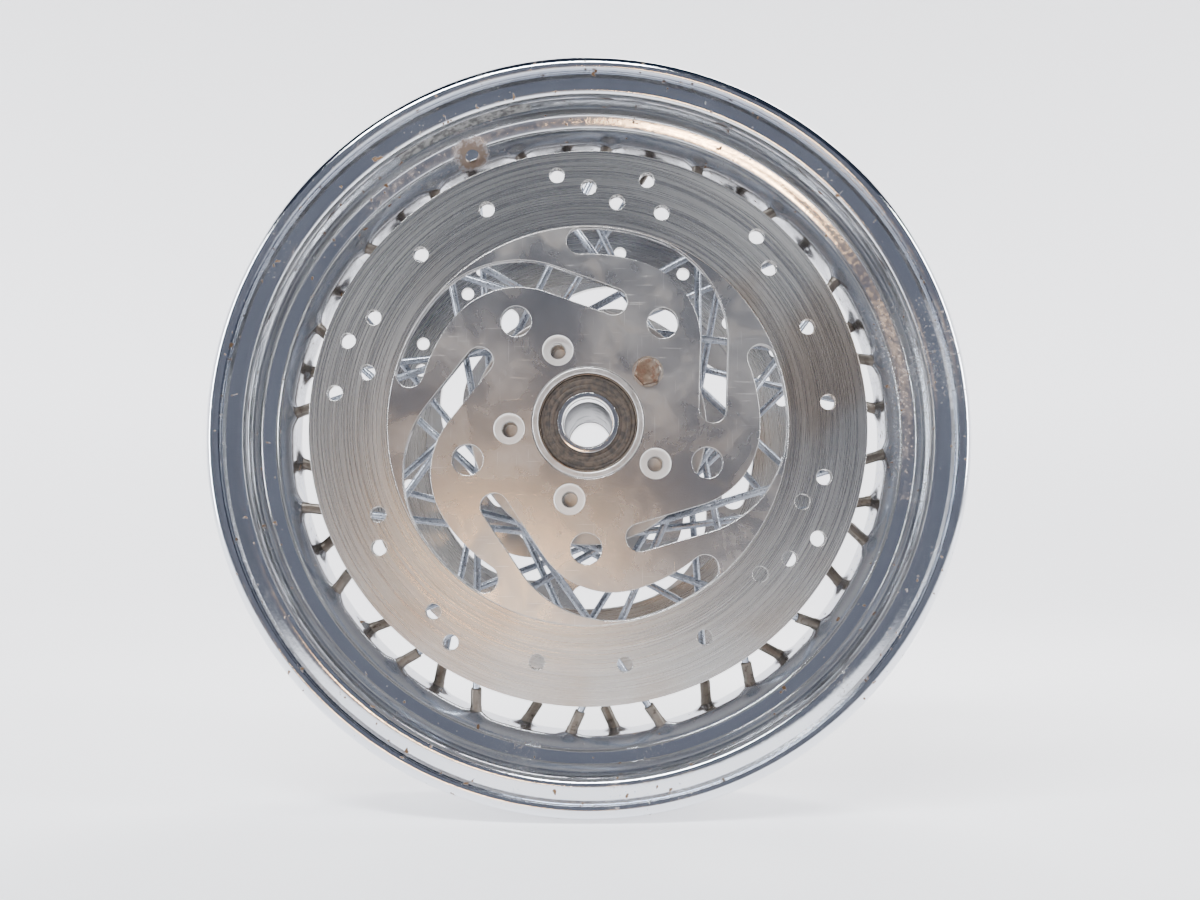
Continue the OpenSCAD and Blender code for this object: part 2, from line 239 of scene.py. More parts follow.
def solid_of_revolution(outline, segs, place):
    """Open outline that starts and ends on the axis."""
    verts, faces = [], []
    inner = outline[1:-1]
    n = len(inner)
    for s in range(segs):
        a = 2 * math.pi * s / segs
        for r, z in inner:
            verts.append(place(Vector((r * math.cos(a), r * math.sin(a), z))))
    verts += [place(Vector((0, 0, outline[0][1]))), place(Vector((0, 0, outline[-1][1])))]
    low, high = len(verts) - 2, len(verts) - 1
    for s in range(segs):
        t = (s + 1) % segs
        faces.append((low, t * n, s * n))
        faces.append((high, s * n + n - 1, t * n + n - 1))
        for i in range(n - 1):
            faces.append((s * n + i, t * n + i, t * n + i + 1, s * n + i + 1))
    return verts, faces


def merged(parts):
    """Several (verts, faces) pairs as one."""
    verts, faces = [], []
    for v, f in parts:
        base = len(verts)
        verts += v
        faces += [tuple(i + base for i in face) for face in f]
    return verts, faces


def ring(name, outline, side, z, segs=256):
    """A turned ring on the axle axis; outline heights count from z, outboard positive."""
    verts, faces = revolve_data(outline, segs, lambda p: to_model(flip(p + Vector((0, 0, z)), side)))
    return make_object(name, verts, faces)


def boolean(obj, parts, operation):
    """Cuts or joins closed solids, given as (verts, faces) in the row frame."""
    verts, faces = merged(parts)
    tool = make_object("tool", verts, faces)
    mod = obj.modifiers.new("bool", "BOOLEAN")
    mod.operation = operation
    mod.solver = "MANIFOLD"
    mod.object = tool
    bake(obj)
    bpy.data.objects.remove(tool)


def evaluated_mesh(obj):
    depsgraph = bpy.context.evaluated_depsgraph_get()
    return bpy.data.meshes.new_from_object(obj.evaluated_get(depsgraph))


def bake(obj):
    """Applies an object's modifiers."""
    mesh = evaluated_mesh(obj)
    obj.modifiers.clear()
    mesh.shade_smooth()
    mesh.set_sharp_from_angle(angle=math.radians(SMOOTH_ANGLE))
    obj.data = mesh


def crisp_flats(obj):
    """Keeps the shading of rounded edges off the flat faces square to the axle."""
    bm = bmesh.new()
    bm.from_mesh(obj.data)
    for edge in bm.edges:
        flat = [abs(face.normal.y) > FLAT_FROM for face in edge.link_faces]
        if any(flat) and not all(flat):
            edge.smooth = False
    bm.to_mesh(obj.data)
    bm.free()


def rod(r, z0, z1, place, segs=48):
    """A closed cylinder from height z0 to z1."""
    return solid_of_revolution([(0, z0), (r, z0), (r, z1), (0, z1)], segs, place)


# ---------------------------------------------------------------- node helpers

class Shader:
    """A Principled material with short calls for the nodes that feed it."""

    def __init__(self, name, color, metallic, roughness, **constants):
        self.mat = bpy.data.materials.new(name)
        self.mat.use_nodes = True
        self.tree = self.mat.node_tree
        self.bsdf = self.tree.nodes["Principled BSDF"]
        self.bsdf.inputs["Base Color"].default_value = (*color, 1)
        self.bsdf.inputs["Metallic"].default_value = metallic
        self.bsdf.inputs["Roughness"].default_value = roughness
        for key, value in constants.items():
            self.bsdf.inputs[key.replace("_", " ")].default_value = value
        self.position = self.node("ShaderNodeTexCoord").outputs["Object"]

    def node(self, kind, *args, **props):
        n = self.tree.nodes.new(kind)
        for key, value in props.items():
            setattr(n, key, value)
        for i, value in enumerate(args):
            if value is not None:
                self.feed(n.inputs[i], value)
        return n

    def feed(self, socket, value):
        if isinstance(value, bpy.types.NodeSocket):
            self.tree.links.new(value, socket)
        else:
            socket.default_value = value

    def math(self, operation, a, b=0.0, c=0.0):
        return self.node("ShaderNodeMath", a, b, c, operation=operation).outputs[0]

    def span(self, value, low, high, out_low=0.0, out_high=1.0):
        """Eased change from out_low to out_high as value goes from low to high."""
        n = self.node("ShaderNodeMapRange", interpolation_type="SMOOTHSTEP", clamp=True)
        for key, v in (("Value", value), ("From Min", low), ("From Max", high),
                       ("To Min", out_low), ("To Max", out_high)):
            self.feed(n.inputs[key], v)
        return n.outputs["Result"]

    def cylinder(self):
        """Radius in mm, angle in radians and height in mm about the axle."""
        xyz = self.node("ShaderNodeSeparateXYZ", self.position).outputs
        x, y, z = (self.math("MULTIPLY", o, 1000.0) for o in xyz)
        r = self.math("SQRT", self.math("ADD", self.math("MULTIPLY", x, x), self.math("MULTIPLY", z, z)))
        return r, self.math("ARCTAN2", z, x), self.math("MULTIPLY", y, -1.0)

    def round_the_axle(self, a):
        """World direction that runs round the axle at angle a."""
        across = self.math("MULTIPLY", self.math("SINE", a), -1.0)
        local = self.combine(across, 0.0, self.math("COSINE", a))
        return self.node("ShaderNodeVectorTransform", local, vector_type="VECTOR",
                         convert_from="OBJECT", convert_to="WORLD").outputs[0]

    def combine(self, x, y, z=0.0):
        return self.node("ShaderNodeCombineXYZ", x, y, z).outputs[0]

    def noise(self, scale, detail=4.0, rough=0.55, vector=None, distortion=0.0):
        n = self.node("ShaderNodeTexNoise")
        self.feed(n.inputs["Vector"], vector or self.position)
        n.inputs["Scale"].default_value = scale
        n.inputs["Detail"].default_value = detail
        n.inputs["Roughness"].default_value = rough
        n.inputs["Distortion"].default_value = distortion
        return n.outputs["Fac"]

    def mix(self, fac, a, b):
        """Colour a at 0, colour b at 1."""
        n = self.node("ShaderNodeMix", data_type="RGBA")
        self.feed(n.inputs["Factor"], fac)
        for socket, value in ((n.inputs[6], a), (n.inputs[7], b)):
            self.feed(socket, value if isinstance(value, bpy.types.NodeSocket) else (*value, 1))
        return n.outputs[2]

    def blend(self, fac, a, b):
        """Value a at 0, value b at 1."""
        n = self.node("ShaderNodeMix", data_type="FLOAT")
        for i, value in ((0, fac), (2, a), (3, b)):
            self.feed(n.inputs[i], value)
        return n.outputs[0]

    def bump(self, height, distance_mm, strength=1.0, below=None):
        n = self.node("ShaderNodeBump")
        n.inputs["Strength"].default_value = strength
        n.inputs["Distance"].default_value = distance_mm * MM
        self.feed(n.inputs["Height"], height)
        if below is not None:
            self.feed(n.inputs["Normal"], below)
        return n.outputs[0]

    def set(self, **sockets):
        for key, value in sockets.items():
            self.feed(self.bsdf.inputs[key.replace("_", " ")], value)
        return self.mat


def streaks(s, r, a, per_mm, around=1.2, detail=3.0):
    """Turning marks: noise drawn out round the axle, with no seam at the half turn."""
    across = s.math("MULTIPLY", s.math("COSINE", a), around)
    along = s.math("MULTIPLY", s.math("SINE", a), around)
    return s.noise(1.0, detail, 0.6, s.combine(s.math("MULTIPLY", r, per_mm), across, along))


def chrome_material():
    s = Shader("rim_chrome_worn", (0.80, 0.80, 0.82), 1.0, 0.1)
    r, a, z = s.cylinder()
    cloud = s.noise(14, 4, 0.6)
    fine = s.noise(420, 3, 0.6)
    patch = s.span(s.noise(9, 5, 0.7, distortion=0.6), 0.50, 0.66)
    speck = s.span(s.noise(620, 2, 0.5), 0.64, 0.70)
    sparse = s.span(s.noise(210, 2, 0.5), 0.69, 0.73)
    # well marks the rim's well: it drives painted shade in the colour and rougher chrome in the roughness
    well = s.span(r, 174.5, 171.8)
    pits = s.math("MAXIMUM", s.math("MULTIPLY", speck, patch), sparse)
    valve = s.node("ShaderNodeVectorMath", s.position, operation="DISTANCE")
    valve.inputs[1].default_value = to_model((*polar(VALVE_AT_R, VALVE_TURN), VALVE_AT_Z))
    ragged = s.math("MULTIPLY", s.math("SUBTRACT", fine, 0.5), 0.012)
    near_valve = s.span(s.math("ADD", valve.outputs["Value"], ragged), 0.0125, 0.0065)
    rust = s.math("MAXIMUM", s.math("MULTIPLY", near_valve, 0.85), pits)
    plate = s.mix(cloud, (0.66, 0.69, 0.75), (0.84, 0.85, 0.87))
    # The chrome is painted darker in the well: painted shade in the rim's deep channel
    plate = s.mix(s.math("MULTIPLY", well, 0.5), plate, (0.24, 0.24, 0.265))
    rusty = s.mix(s.noise(160, 4, 0.6), (0.10, 0.055, 0.03), (0.28, 0.17, 0.09))
    rough = s.blend(patch, s.span(fine, 0.35, 0.7, 0.07, 0.13), s.span(fine, 0.3, 0.7, 0.14, 0.30))
    rough = s.blend(well, rough, s.span(fine, 0.3, 0.7, 0.12, 0.24))
    turned = streaks(s, r, s.math("ADD", a, s.math("MULTIPLY", z, 0.01)), 0.9)
    normal = s.bump(turned, 0.02, 0.35)
    normal = s.bump(s.math("SUBTRACT", fine, s.math("MULTIPLY", rust, 0.8)), 0.05, 0.5, normal)
    return s.set(Base_Color=s.mix(rust, plate, rusty), Roughness=s.blend(rust, rough, 0.62),
                 Metallic=s.math("SUBTRACT", 1.0, s.math("MULTIPLY", rust, 0.7)), Normal=normal)


def disc_material(name, phase):
    """Scored swept ring outside SWEPT_R, satin carrier inside, bright counterbores."""
    s = Shader(name, (0.6, 0.6, 0.6), 1.0, 0.3)
    r, a, _ = s.cylinder()
    swept = s.span(r, SWEPT_R - 0.2, SWEPT_R + 0.2)
    sector = s.math("SUBTRACT", a, math.radians(phase))
    sector = s.math("WRAP", sector, math.pi / BOLT_COUNT, -math.pi / BOLT_COUNT)
    dx = s.math("SUBTRACT", s.math("MULTIPLY", r, s.math("COSINE", sector)), BOLT_R)
    dy = s.math("MULTIPLY", r, s.math("SINE", sector))
    d = s.math("SQRT", s.math("ADD", s.math("MULTIPLY", dx, dx), s.math("MULTIPLY", dy, dy)))
    in_bore = s.span(d, COUNTERBORE_R + 0.5, COUNTERBORE_R + 0.1)
    broad = streaks(s, r, a, 0.28, 0.5, 2)
    score = streaks(s, r, a, 1.1, 0.9, 5)
    hair = streaks(s, r, a, 4.0, 2.5, 3)
    grooves = s.math("ADD", s.math("MULTIPLY", score, 0.65), s.math("MULTIPLY", hair, 0.35))
    cloud = s.noise(17, 4, 0.6, distortion=0.4)
    blot = s.span(s.noise(38, 5, 0.65, distortion=0.7), 0.46, 0.72)
    heat = s.math("MULTIPLY", s.span(s.noise(11, 3, 0.5), 0.48, 0.68), 0.55)
    ring_color = s.mix(broad, (0.33, 0.32, 0.31), (0.58, 0.57, 0.55))
    ring_color = s.mix(heat, ring_color, (0.36, 0.26, 0.18))
    ring_color = s.mix(s.span(grooves, 0.55, 0.72), ring_color, (0.26, 0.245, 0.235))
    carrier = s.mix(cloud, (0.42, 0.43, 0.455), (0.58, 0.555, 0.52))
    carrier = s.mix(s.math("MULTIPLY", blot, 0.4), carrier, (0.40, 0.33, 0.26))
    stretch_a = s.node("ShaderNodeMapping", s.position)
    stretch_a.inputs["Rotation"].default_value = (0, 0.7, 0)
    stretch_a.inputs["Scale"].default_value = (45, 60, 1500)
    stretch_b = s.node("ShaderNodeMapping", s.position)
    stretch_b.inputs["Rotation"].default_value = (0, -0.45, 0)
    stretch_b.inputs["Scale"].default_value = (1700, 60, 38)
    lines = [s.span(s.noise(1.0, 1, 0.4, v.outputs[0]), 0.70, 0.745) for v in (stretch_a, stretch_b)]
    scratch = s.math("MULTIPLY", s.math("MAXIMUM", *lines), s.span(cloud, 0.4, 0.6, 0.15, 1.0))
    carrier = s.mix(s.math("MULTIPLY", scratch, 0.6), carrier, (0.86, 0.85, 0.84))
    machined = s.noise(1.0, 2, 0.5, s.combine(s.math("MULTIPLY", d, 2.6), 0.0))
    color = s.mix(swept, carrier, ring_color)
    color = s.mix(in_bore, color, s.mix(machined, (0.78, 0.77, 0.75), (0.95, 0.94, 0.92)))
    grain = s.noise(900, 2, 0.5)
    rough = s.blend(swept, s.span(s.math("ADD", cloud, s.math("MULTIPLY", blot, 0.2)), 0.35, 0.8, 0.22, 0.38),
                    s.span(grooves, 0.3, 0.7, 0.20, 0.36))
    rough = s.blend(in_bore, rough, 0.42)
    height = s.blend(swept, s.math("ADD", s.math("MULTIPLY", grain, 0.5), s.math("MULTIPLY", scratch, -0.5)),
                     s.math("ADD", s.math("MULTIPLY", grooves, 1.6), s.math("MULTIPLY", broad, 1.5)))
    height = s.blend(in_bore, height, s.math("MULTIPLY", machined, 1.2))
    tangent = s.round_the_axle(a)
    grain_pull = s.blend(in_bore, s.blend(swept, 0.2, 0.6), 0.0)
    return s.set(Base_Color=color, Roughness=rough, Normal=s.bump(height, 0.06, 0.5), Tangent=tangent,
                 Anisotropic=grain_pull)


def turned_material(name, color, dark, rough_low, rough_high, per_mm=3.0):
    """Ground or turned steel with marks that run round the axle."""
    s = Shader(name, color, 1.0, rough_low)
    r, a, _ = s.cylinder()
    marks = streaks(s, r, a, per_mm, 0.8)
    stain = s.span(s.noise(90, 4, 0.6), 0.5, 0.75)
    tone = s.mix(s.math("MULTIPLY", stain, 0.55), s.mix(marks, dark, color), dark)
    rough = s.span(s.math("ADD", marks, stain), 0.3, 1.3, rough_low, rough_high)
    return s.set(Base_Color=tone, Roughness=rough, Normal=s.bump(marks, 0.03, 0.4))


def corroded_material(name, clean, dull, dirt, rough_low, rough_high, dirt_from):
    """Plated metal gone dull, with grainy dirt or rust."""
    s = Shader(name, clean, 0.9, rough_low)
    cloud = s.noise(60, 4, 0.6)
    grain = s.noise(700, 4, 0.65)
    spots = s.span(s.noise(240, 5, 0.7), dirt_from, dirt_from + 0.14)
    tone = s.mix(spots, s.mix(s.span(cloud, 0.35, 0.65), clean, dull), dirt)
    rough = s.blend(spots, s.span(grain, 0.3, 0.7, rough_low, rough_high), 0.75)
    return s.set(Base_Color=tone, Roughness=rough, Metallic=s.blend(spots, 0.95, 0.35),
                 Normal=s.bump(s.math("ADD", grain, spots), 0.06, 0.5))


def matte_material(name, light, dark, roughness, scale, bump_mm):
    """Rubber or putty: two tones in spots, with a fine grain."""
    s = Shader(name, light, 0.0, roughness)
    spots = s.noise(scale, 5, 0.65)
    fine = s.noise(scale * 6, 3, 0.6)
    return s.set(Base_Color=s.mix(s.span(spots, 0.38, 0.62), dark, light),
                 Roughness=s.span(fine, 0.3, 0.7, roughness - 0.1, roughness + 0.1),
                 Normal=s.bump(s.math("ADD", spots, fine), bump_mm, 0.6))


CHROME = chrome_material()
DISC_STEEL = {NEAR: disc_material("disc_steel_near", BOLT_PHASE),
              FAR: disc_material("disc_steel_far", -BOLT_PHASE)}
GROUND = turned_material("bearing_ground", color=(0.86, 0.86, 0.87), dark=(0.62, 0.61, 0.60),
                         rough_low=0.10, rough_high=0.26)
HUB_ALLOY = corroded_material("hub_alloy_satin", clean=(0.62, 0.61, 0.60), dull=(0.46, 0.44, 0.42),
                              dirt=(0.16, 0.12, 0.09), rough_low=0.28, rough_high=0.48, dirt_from=0.62)
ZINC = corroded_material("spoke_zinc_dull", clean=(0.42, 0.45, 0.51), dull=(0.24, 0.26, 0.30),
                         dirt=(0.13, 0.11, 0.09), rough_low=0.22, rough_high=0.42, dirt_from=0.60)
BRONZE = corroded_material("nipple_bronze_corroded", clean=(0.20, 0.175, 0.15), dull=(0.13, 0.115, 0.10),
                           dirt=(0.06, 0.045, 0.035), rough_low=0.36, rough_high=0.58, dirt_from=0.54)
RUSTY = corroded_material("bolt_steel_rusty", clean=(0.26, 0.22, 0.185), dull=(0.17, 0.115, 0.08),
                          dirt=(0.095, 0.045, 0.025), rough_low=0.34, rough_high=0.6, dirt_from=0.46)
# The spacer tube's colours are darkened as painted shade for the inside of the hub's bore
TUBE = turned_material("tube_painted_shade_dark", color=(0.20, 0.205, 0.22), dark=(0.10, 0.10, 0.11),
                       rough_low=0.35, rough_high=0.55, per_mm=1.0)
CAGE = turned_material("cage_pressed", color=(0.72, 0.58, 0.32), dark=(0.50, 0.38, 0.20),
                       rough_low=0.25, rough_high=0.4)
RUBBER = matte_material("seal_rubber_matte", light=(0.060, 0.042, 0.030), dark=(0.022, 0.017, 0.014),
                        roughness=0.55, scale=300, bump_mm=0.04)
STAINED = turned_material("race_stained", color=(0.34, 0.31, 0.28), dark=(0.13, 0.095, 0.07),
                          rough_low=0.24, rough_high=0.5)
PUTTY = matte_material("strip_putty_mottled", light=(0.34, 0.34, 0.33), dark=(0.10, 0.10, 0.10),
                       roughness=0.7, scale=260, bump_mm=0.15)


def dress(obj, material, body, slot, *nodes):
    """Gives a new piece its material and body and hides the CAD nodes it stands for; slot is not used."""
    obj.data.materials.clear()
    obj.data.materials.append(material)
    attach(obj, body)
    if nodes:
        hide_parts(*nodes)


# ---------------------------------------------------------------- lacing

def rim_turn(side, row, k):
    return GROUP_PHASE + 360 / GROUPS * k + side * ROW_TURN[row]


def rim_end(side, row, k):
    return Vector((*polar(WELL_R, rim_turn(side, row, k)), side * RIM_HOLE_Z))


def hub_end(side, row, k):
    turn = rim_turn(side, row, k) - side * row * LACE_SWING
    return Vector((*polar(LACING_R, turn), side * (ROW_Z[row] - ELBOW_DROP)))


def along_spoke(side, row, k):
    """Placement whose height runs from the rim hole towards the hub."""
    start = rim_end(side, row, k)
    turn = (hub_end(side, row, k) - start).to_track_quat("Z", "Y").to_matrix()
    return lambda p: to_model(start + turn @ p)


LACES = [(side, row, k) for side in (NEAR, FAR) for row in (OUTER, INNER) for k in range(GROUPS)]


# ---------------------------------------------------------------- rim

def rim_path():
    """Middle line of the rim's wall, (radius, height), from the far lip to the near lip."""
    well = Vector((WELL_R, 0))
    corners = [well, Vector((WELL_R, 11)), Vector((WELL_R + 5.5, 18.3)), Vector((WELL_R + 12.8, 20.6)),
               Vector((SEAT_R - SEAT_RISE, SEAT_START_Z)), Vector((SEAT_R - 1.2, FLANGE_Z))]
    lip = Vector((SEAT_R + FLANGE_H - LIP_R - WALL / 2, FLANGE_Z + LIP_R))
    corners.append(Vector((lip.x, FLANGE_Z)))
    corner_rounds = (5, 3, 4, 4, 3)
    lip_steps = 18
    half = [well]
    for i, r in enumerate(corner_rounds, start=1):
        half += fillet(corners[i - 1], corners[i], corners[i + 1], r, 4)
    for i in range(lip_steps + 1):
        a = math.radians(180 - (180 + LIP_CURL) * i / lip_steps)
        half.append(lip + Vector((math.sin(a), math.cos(a))) * LIP_R)
    half = subdivide(half, 3.2)
    mirrored = [Vector((p.x, -p.y)) for p in reversed(half[1:])]
    return mirrored + half


def build_rim():
    holes = [(math.radians(rim_turn(*lace)), lace[0] * RIM_HOLE_Z) for lace in LACES]
    dimple_depth, dimple_r, buckle, inset = 2.3, 9.0, 0.2, 0.05
    well_top, well_half = WELL_R + 5, 18

    def place(p):
        r, a = math.hypot(p.x, p.y), math.atan2(p.y, p.x)
        if r < well_top and abs(p.z) < well_half:
            sink = 0
            for turn, z in holes:
                around = math.remainder(a - turn, 2 * math.pi) * r
                if abs(around) < dimple_r:
                    d = math.hypot(around, p.z - z) / dimple_r
                    if d < 1:
                        sink = max(sink, (1 - d * d) ** 2)
            r -= sink * dimple_depth
        r -= inset + buckle * (1 + math.sin(2 * a + 0.6)) / 2
        return to_model((r * math.cos(a), r * math.sin(a), p.z))

    verts, faces = revolve_data(wall(rim_path(), WALL), segs=400, place=place)
    rim = make_object("rim_shell", verts, faces, smooth_angle=40)
    cutters = [rod(NIPPLE_R + 0.3, -7, 7, along_spoke(*lace), segs=32) for lace in LACES]
    tilt = Matrix.Rotation(math.radians(-VALVE_TILT), 3, "Y")
    spin = Matrix.Rotation(math.radians(VALVE_TURN), 3, "Z")
    centre = Vector((VALVE_AT_R, 0, VALVE_AT_Z))
    cutters.append(rod(VALVE_R, -6, 6, lambda p: to_model(spin @ (centre + tilt @ p)), segs=64))
    boolean(rim, cutters, "DIFFERENCE")
    dress(rim, CHROME, "wheel", "rim_chrome", "rim")


def build_strip():
    """The stick-on weight's leftover pad, ragged at the edges."""
    rng = random.Random(7)
    a0, a1, z0, z1 = 100.2, 124.8, 27.2, 36.3
    na, nz = 150, 26
    seat_inside = SEAT_R - SEAT_RISE - WALL / 2 - 0.03
    ragged = [[rng.uniform(-1, 1) for _ in range(na + 1)] for _ in range(2)]
    for row in ragged:
        for _ in range(3):
            row[:] = [(row[max(i - 1, 0)] + row[i] + row[min(i + 1, na)]) / 3 for i in range(na + 1)]
    top, low = [], []
    for i in range(na + 1):
        a = a0 + (a1 - a0) * i / na
        end = min(i, na - i) / na
        for j in range(nz + 1):
            t = j / nz
            z = (z0 + 0.6 + 0.5 * ragged[0][i]) * (1 - t) + (z1 - 0.6 + 0.5 * ragged[1][i]) * t
            under = seat_inside + (z - SEAT_START_Z) * 0.9 / 14.3
            edge = min(1, min(t, 1 - t) * 9, end * 70)
            t_here = 0.12 + edge * (0.42 + 0.16 * math.sin(a * 9 + z * 1.7) * math.sin(z * 2.3 - a * 4)
                                    + rng.uniform(-0.05, 0.05))
            top.append(to_model((*polar(under - t_here, a), z)))
            low.append(to_model((*polar(under, a), z)))
    n = nz + 1
    faces = []
    for i in range(na):
        for j in range(nz):
            q = (i * n + j, (i + 1) * n + j, (i + 1) * n + j + 1, i * n + j + 1)
            faces += [q, tuple(v + len(top) for v in reversed(q))]
    rim_loop = ([i * n for i in range(na + 1)] + [na * n + j for j in range(1, n)]
                + [i * n + nz for i in range(na - 1, -1, -1)] + [j for j in range(nz - 1, 0, -1)])
    for p, q in zip(rim_loop, rim_loop[1:] + rim_loop[:1]):
        faces.append((p, q, q + len(top), p + len(top)))
    strip = make_object("balance_strip_pad", top + low, faces, smooth_angle=60)
    dress(strip, PUTTY, "wheel", "strip", "balance_strip")


# ---------------------------------------------------------------- spokes and nipples

def sweep_data(path, radii, segs):
    """A round bar along a path, closed at both ends."""
    verts, faces = [], []
    side = None
    n = len(path)
    for i, p in enumerate(path):
        d = (path[min(i + 1, n - 1)] - path[max(i - 1, 0)]).normalized()
        side = d.orthogonal() if side is None else side
        side = (side - d * side.dot(d)).normalized()
        other = d.cross(side)
        for s in range(segs):
            a = 2 * math.pi * s / segs
            verts.append(to_model(p + (side * math.cos(a) + other * math.sin(a)) * radii[i]))
    for i in range(n - 1):
        for s in range(segs):
            t = (s + 1) % segs
            faces.append((i * segs + s, i * segs + t, (i + 1) * segs + t, (i + 1) * segs + s))
    faces.append(tuple(reversed(range(segs))))
    faces.append(tuple((n - 1) * segs + s for s in range(segs)))
    return verts, faces


def spoke_data(side, row, k):
    """Straight from the rim hole, bent at the elbow, with a round head behind the flange."""
    start, elbow = rim_end(side, row, k), hub_end(side, row, k)
    along = (elbow - start).normalized()
    up = Vector((0, 0, side))
    bend, bend_steps = 2.4, 8
    path = [start - along * 2.5, start, start + along * 60, elbow - along * (bend + 8), elbow - along * bend]
    p0, p2 = elbow - along * bend, elbow + up * bend
    for i in range(1, bend_steps):
        t = i / bend_steps
        path.append(p0 * (1 - t) ** 2 + elbow * 2 * t * (1 - t) + p2 * t * t)
    seat = ELBOW_DROP + SPOKE_FLANGE_T / 2
    path += [p2, elbow + up * (seat - 0.02)]
    radii = [SPOKE_R] * len(path)
    for height, r in ((0, 3.45), (0.35, 3.6), (1.1, 3.5), (1.7, 3.0), (2.05, 2.1), (2.18, 1.0)):
        path.append(elbow + up * (seat + height))
        radii.append(r)
    return sweep_data(path, radii, segs=28)


def build_spokes():
    for side, side_name in ((NEAR, "near"), (FAR, "far")):
        for row, row_name in ((OUTER, "outer"), (INNER, "inner")):
            verts, faces = merged([spoke_data(side, row, k) for k in range(GROUPS)])
            node = f"{side_name}_{row_name}_spokes"
            spokes = make_object(node + "_bent", verts, faces, smooth_angle=35)
            dress(spokes, ZINC, "wheel", "spoke_zinc", node)


def nipple_outline():
    """Radius and height from the rim hole, hub side positive."""
    tip, head = NIPPLE_LEN, -NIPPLE_SEAT
    bore = SPOKE_R + 0.05
    return [(bore, tip - 0.3), (bore + 0.3, tip), (NIPPLE_R - 0.9, tip), (NIPPLE_R - 0.35, tip - 0.35),
            (NIPPLE_R, tip - 1.2), (NIPPLE_R, 5.6), (NIPPLE_R, 5.0), (NIPPLE_R, 1.0), (NIPPLE_R, head),
            (4.7, head), (5.0, head - 0.4), (4.6, head - 2.0), (3.6, head - 3.2), (bore + 0.4, head - 3.55),
            (bore, head - 3.2)]


def nipple_data(side, row, k):
    """One nipple, with the four key flats on its hub end."""
    put = along_spoke(side, row, k)
    flat = NIPPLE_R - 0.4
    flats_from = 5.3

    def place(p):
        if p.z > flats_from:
            p = Vector((max(-flat, min(flat, p.x)), max(-flat, min(flat, p.y)), p.z))
        return put(p)

    return revolve_data(nipple_outline(), segs=40, place=place)


def build_nipples():
    for side, name in ((NEAR, "near_nipples"), (FAR, "far_nipples")):
        verts, faces = merged([nipple_data(side, row, k) for row in (OUTER, INNER) for k in range(GROUPS)])
        nipples = make_object(name + "_flatted", verts, faces, smooth_angle=30)
        dress(nipples, BRONZE, "wheel", "nipple_bronze", name)


# ---------------------------------------------------------------- hub

def soften(path, r):
    """An open path with the corners between its ends rounded."""
    points = [Vector(p) for p in path]
    out = [points[0]]
    for i in range(1, len(points) - 1):
        out += fillet(points[i - 1], points[i], points[i + 1], r, 3)
    return out + [points[-1]]


def bolt_turn(k):
    return BOLT_PHASE + 360 / BOLT_COUNT * k


def at_bolt(side, k):
    """Placement centred on bolt hole k."""
    at = Vector((*polar(BOLT_R, bolt_turn(k)), 0))
    return lambda p: to_model(flip(p + at, side))


def build_barrel():
    half = soften([(BARREL_R, 0), (BARREL_R, MOUNT_Z), (NOSE_R, MOUNT_Z), (NOSE_R, NOSE_Z), (RACE_R, NOSE_Z),
                   (RACE_R, BEARING_IN_Z), (BARREL_BORE_R, BEARING_IN_Z), (BARREL_BORE_R, 0)], 0.6)
    far = [Vector((p.x, -p.y)) for p in reversed(half)]
    verts, faces = revolve_data(half + far[1:-1], segs=192, place=to_model)
    barrel = make_object("hub_barrel_turned", verts, faces)
    crisp_flats(barrel)
    dress(barrel, HUB_ALLOY, "wheel", "hub_alloy", "hub_barrel")


def build_flanges(side, node):
    """One end's casting: both spoke flanges, the disc's mount and its five tapped bosses."""
    t = SPOKE_FLANGE_T / 2
    edge = LACING_R + 4
    inner, outer = ROW_Z[INNER], ROW_Z[OUTER]
    back = MOUNT_Z - 8.4
    outline = rounded([(BARREL_R, inner - 12), (42, inner - t - 1), (edge - 6, inner - t), (edge, inner - t),
                       (edge, inner + t), (42, inner + t + 0.5), (40, inner + t + 2.5), (40, outer - t - 2.5),
                       (42, outer - t - 0.5), (edge - 6, outer - t), (edge, outer - t), (edge, outer + t),
                       (38, outer + t), (36, outer + t + 2), (36, back), (50, back), (50, MOUNT_Z),
                       (BARREL_R, MOUNT_Z)], 0.7)
    verts, faces = revolve_data(outline, segs=192, place=lambda p: to_model(flip(p, side)))
    flanges = make_object(node + "_cast", verts, faces)
    boss, thread, lace = [], [], []
    for k in range(BOLT_COUNT):
        put = at_bolt(side, k)
        boss.append(rod(BOSS_R, ROW_Z[OUTER], MOUNT_Z - 1, put))
        thread.append(solid_of_revolution(
            [(0, THREAD_END_Z), (THREAD_R, THREAD_END_Z), (THREAD_R, MOUNT_Z - 0.5),
             (THREAD_R + 0.6, MOUNT_Z + 0.1), (0, MOUNT_Z + 0.1)], 40, put))
    for row in (OUTER, INNER):
        for k in range(GROUPS):
            end = hub_end(side, row, k)
            at = Vector((end.x, end.y, side * ROW_Z[row]))
            lace.append(rod(SPOKE_R + 0.3, -3, 3, lambda p, at=at: to_model(p + at), segs=24))
    boolean(flanges, boss, "UNION")
    boolean(flanges, thread + lace, "DIFFERENCE")
    crisp_flats(flanges)
    dress(flanges, HUB_ALLOY, "wheel", "hub_alloy", node)


# ---------------------------------------------------------------- brake discs

SLOT_W = 14.4
SLOT_R = 97.2
SLOT_START, SLOT_TURN, SLOT_EXIT = 52, 29.5, -42.5
CURL_CENTRE_R = 46.5
SLOT_RUN = 35
LIGHT_HOLE_AT_R, LIGHT_HOLE_TURN, LIGHT_HOLE_R = 65.7, 12.7, 8.1
RING_HOLE_R = 4
RING_HOLE_ROWS = (118.8, 126.1, 133.6)
RING_HOLE_STEP = 7.3
